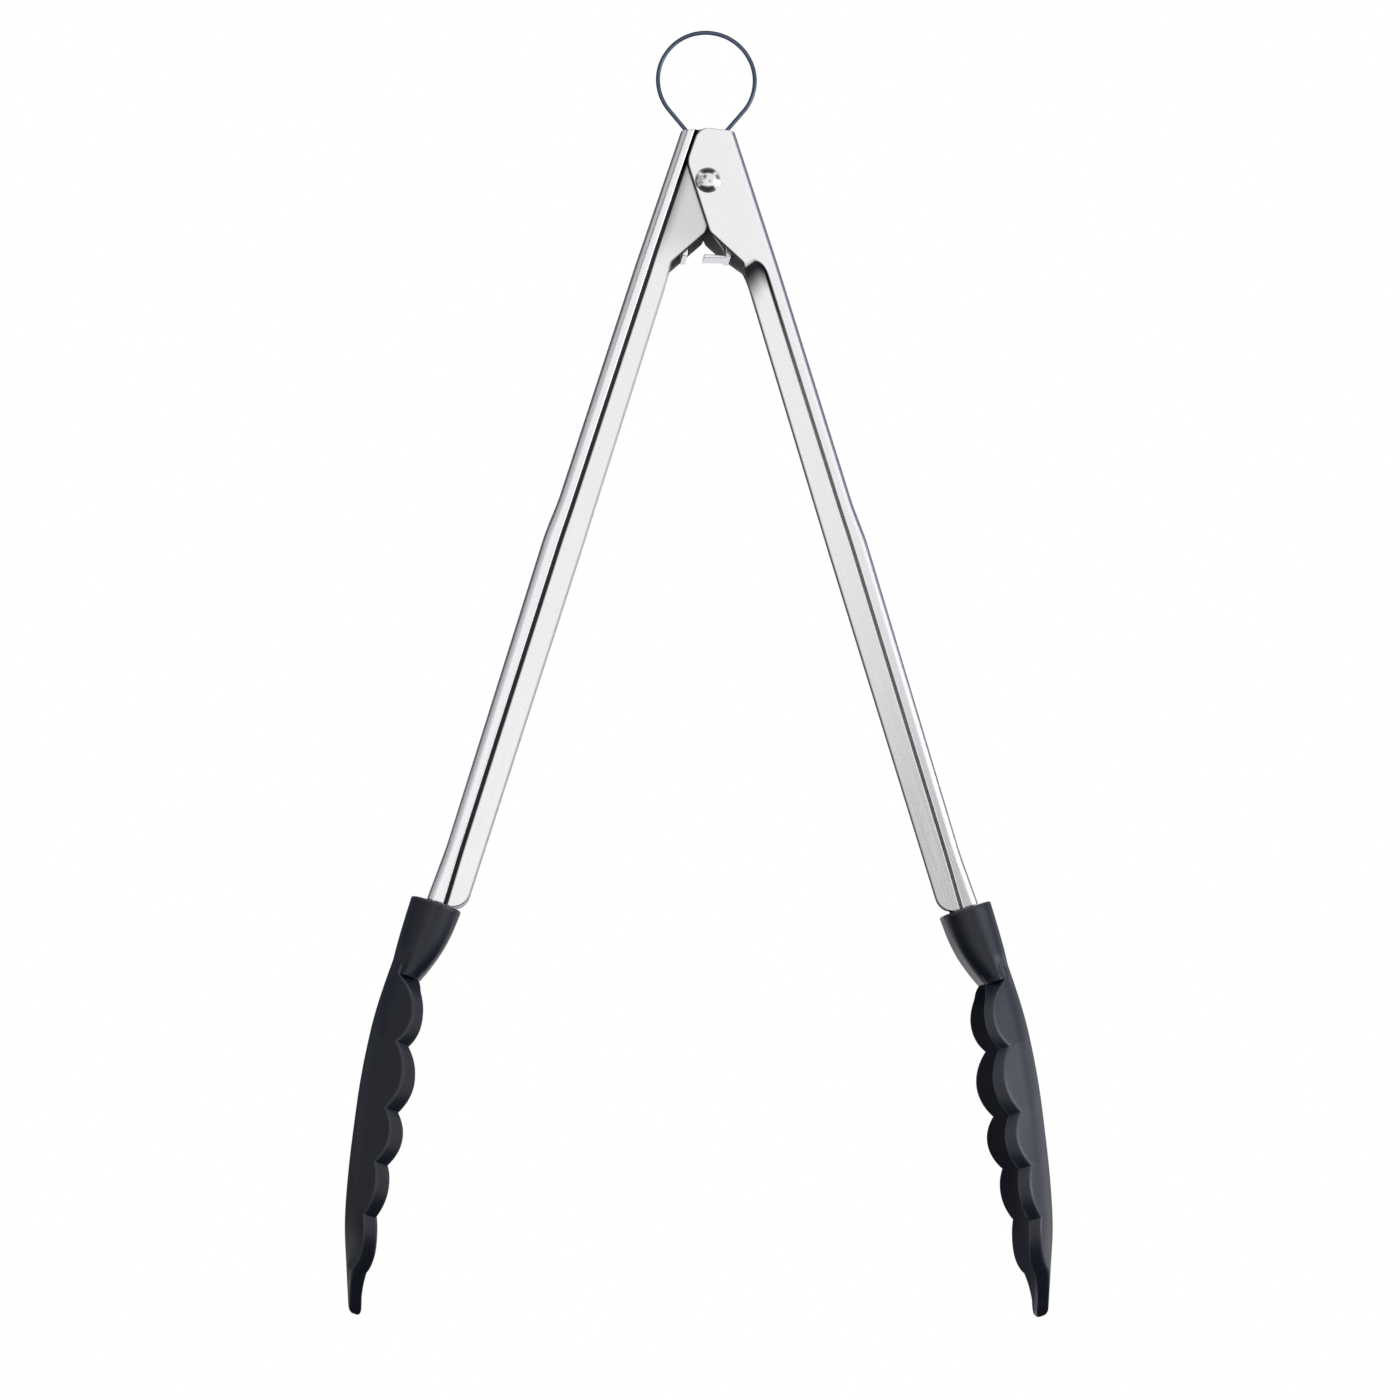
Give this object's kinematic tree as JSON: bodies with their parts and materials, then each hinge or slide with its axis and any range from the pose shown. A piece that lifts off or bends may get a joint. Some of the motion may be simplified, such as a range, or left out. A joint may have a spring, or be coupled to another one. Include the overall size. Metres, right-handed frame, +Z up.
{
  "type": "spring loaded kitchen tongs",
  "caption": "Spring loaded kitchen tongs with folded steel arms hinged on a rivet, a pull ring lock at the head and scalloped black nylon scoop jaws at the tips.",
  "frame": {"origin": "top of the inside of the pull ring, where a hook bears when the tongs hang", "axes": "+Z up along the tongs from the jaws to the ring, +X across the jaws towards the outer arm, +Y along the rivet"},
  "size_m": [0.175, 0.0354, 0.324],
  "materials": {
    "arm_steel": "brushed along the arm",
    "jaw_nylon": "satin moulded",
    "rivet_steel": "polished",
    "bush_plastic": "matt",
    "spring_wire": "drawn wire",
    "lock_steel": "rolled sheet",
    "ring_wire": "drawn wire"
  },
  "bodies": {
    "pivot": {"pivot_rivet": "rivet_steel", "pivot_bush": "bush_plastic", "torsion_spring": "spring_wire"},
    "outer": {"outer_arm": "arm_steel", "outer_jaw": "jaw_nylon"},
    "inner": {"inner_arm": "arm_steel", "inner_jaw": "jaw_nylon"},
    "lock": {"lock_slider": "lock_steel", "ring_pin": "lock_steel"},
    "ring": {"pull_ring": "ring_wire"}
  },
  "joints": [
    {"name": "outer_arm_swing", "type": "hinge", "parent": "pivot", "child": "outer", "pos_m": [0, 0, -0.03925], "axis": [0, 1, 0], "range_deg": [0, 16.25], "stiffness_Nm_per_rad": 0.65, "springref_deg": -21.2, "deforming": ["torsion_spring"]},
    {"name": "inner_arm_swing", "type": "hinge", "parent": "pivot", "child": "inner", "pos_m": [0, 0, -0.03925], "axis": [0, -1, 0], "range_deg": [0, 16.25], "stiffness_Nm_per_rad": 0.65, "springref_deg": -21.2, "deforming": ["torsion_spring"]},
    {"name": "lock_slide", "type": "slide", "parent": "pivot", "child": "lock", "axis": [0, 0, 1], "range_m": [0, 0.004]},
    {"name": "ring_swing", "type": "hinge", "parent": "lock", "child": "ring", "pos_m": [0, 0, -0.02767], "axis": [0, 1, 0], "range_deg": [-8, 8]}
  ],
  "couplings": [
    {"joint": "inner_arm_swing", "follows": "outer_arm_swing", "ratio": 1}
  ]
}
